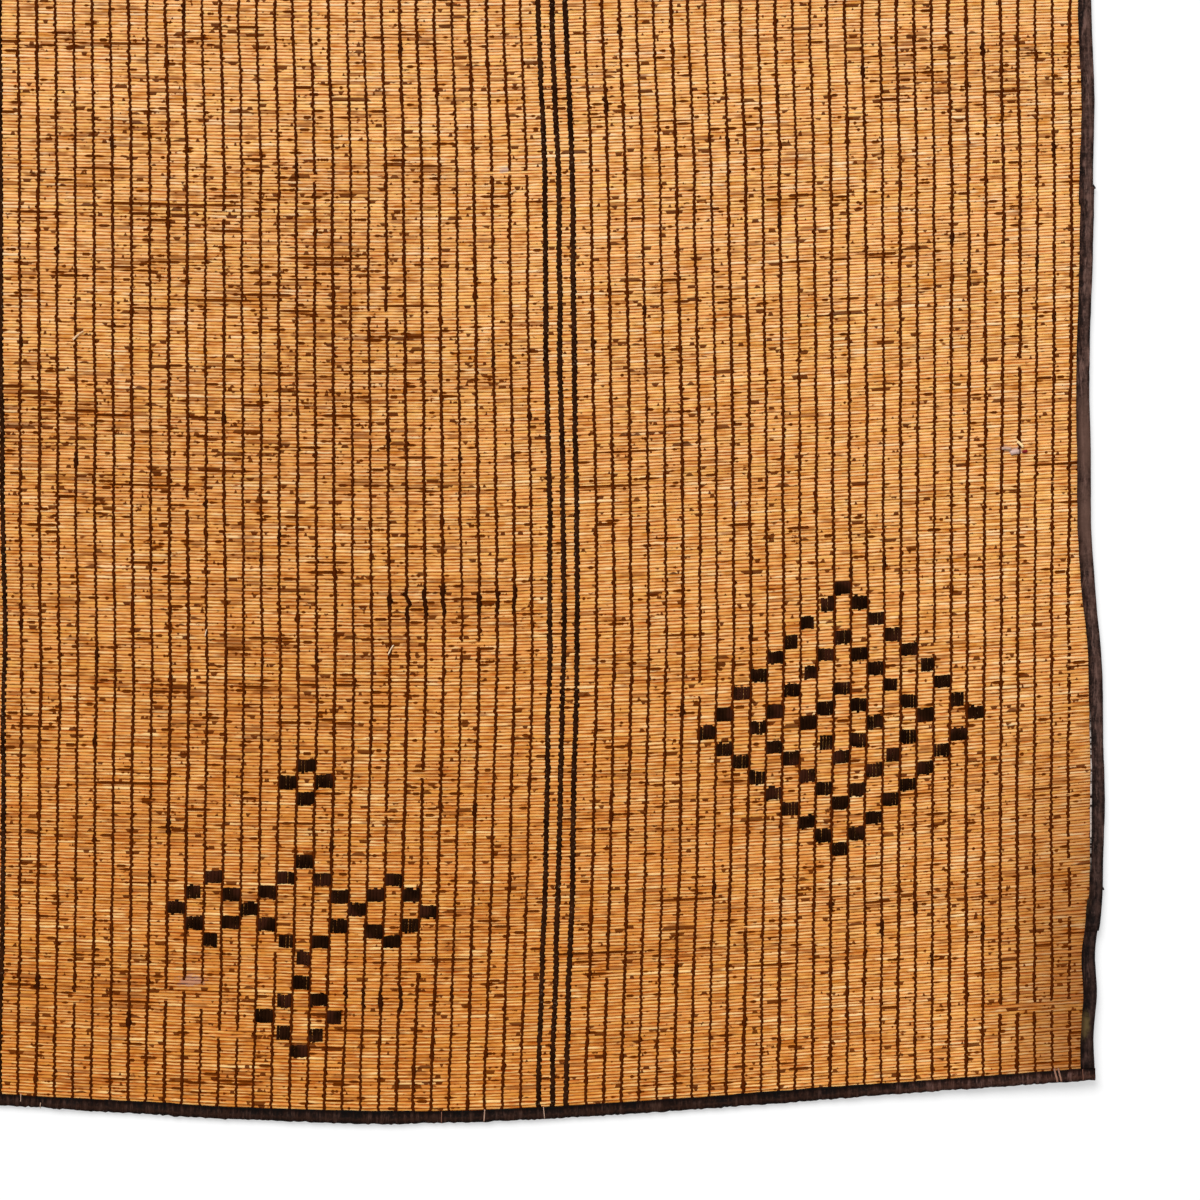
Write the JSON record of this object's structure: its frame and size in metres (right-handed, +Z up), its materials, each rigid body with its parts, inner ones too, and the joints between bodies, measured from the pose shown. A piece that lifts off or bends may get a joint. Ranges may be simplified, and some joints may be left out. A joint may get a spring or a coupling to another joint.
{
  "type": "tuareg reed and leather floor mat",
  "caption": "Large flat floor mat of reed stems bound side by side with leather thongs, its four edges folded into leather strips.",
  "frame": {"origin": "on the floor under the middle of the mat", "axes": "+X across the mat along its reeds, +Y along the mat along its thongs, away from the finished end with the motifs, +Z up"},
  "size_m": [1.1643, 1.75, 0.0105],
  "materials": {
    "reed": "dry straw-brown reed stems, satin",
    "thong_leather": "dark brown leather thongs, matte",
    "side_leather": "dark grey-brown leather, softly worn",
    "end_leather": "nearly black leather, worn"
  },
  "bodies": {
    "root": {"reed_field": "reed", "thong_left_inner": "thong_leather", "thong_left_middle": "thong_leather", "thong_left_outer": "thong_leather", "thong_right_inner": "thong_leather", "thong_right_middle": "thong_leather", "thong_right_outer": "thong_leather", "binding_left": "side_leather", "binding_right": "side_leather", "binding_near": "end_leather", "binding_far": "end_leather"}
  },
  "joints": []
}
